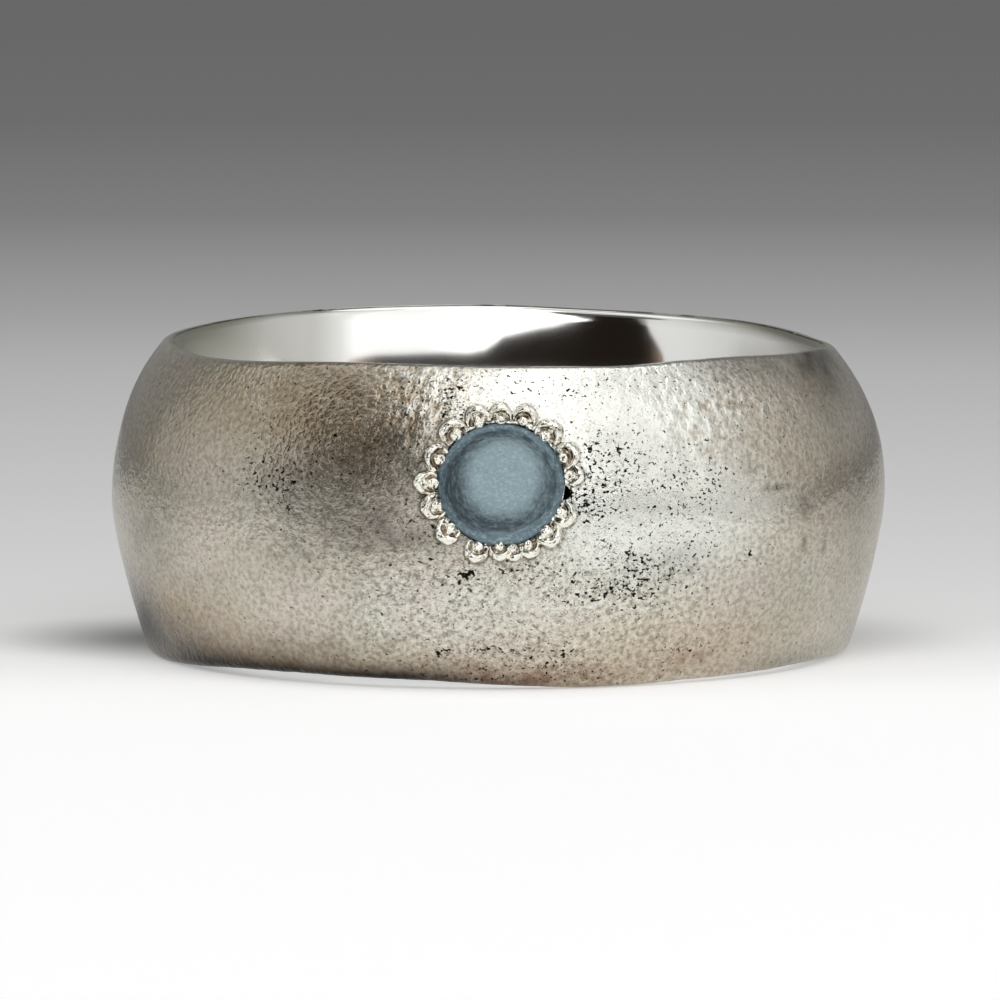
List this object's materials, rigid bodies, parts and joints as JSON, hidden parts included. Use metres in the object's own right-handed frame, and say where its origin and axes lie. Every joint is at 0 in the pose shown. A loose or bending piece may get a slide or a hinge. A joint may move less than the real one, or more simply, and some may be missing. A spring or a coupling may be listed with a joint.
{
  "type": "sea glass ring",
  "caption": "Wide domed finger ring with a sand-textured silver band and a round frosted sea glass cabochon held by a circle of small raised grains.",
  "frame": {"origin": "centre of the finger hole, at half the height of the band", "axes": "+Z along the finger, up through the top rim; the sea glass faces -Y; +X to the right as the sea glass is looked at"},
  "size_m": [0.022, 0.0224, 0.0088],
  "materials": {
    "silver": "satin, sand-textured outside with small black pits and brown tarnish; polished inside the finger hole",
    "sea_glass": "frosted blue-grey, matt, nearly opaque"
  },
  "bodies": {
    "root": {"band": "silver", "stone": "sea_glass"}
  },
  "joints": []
}
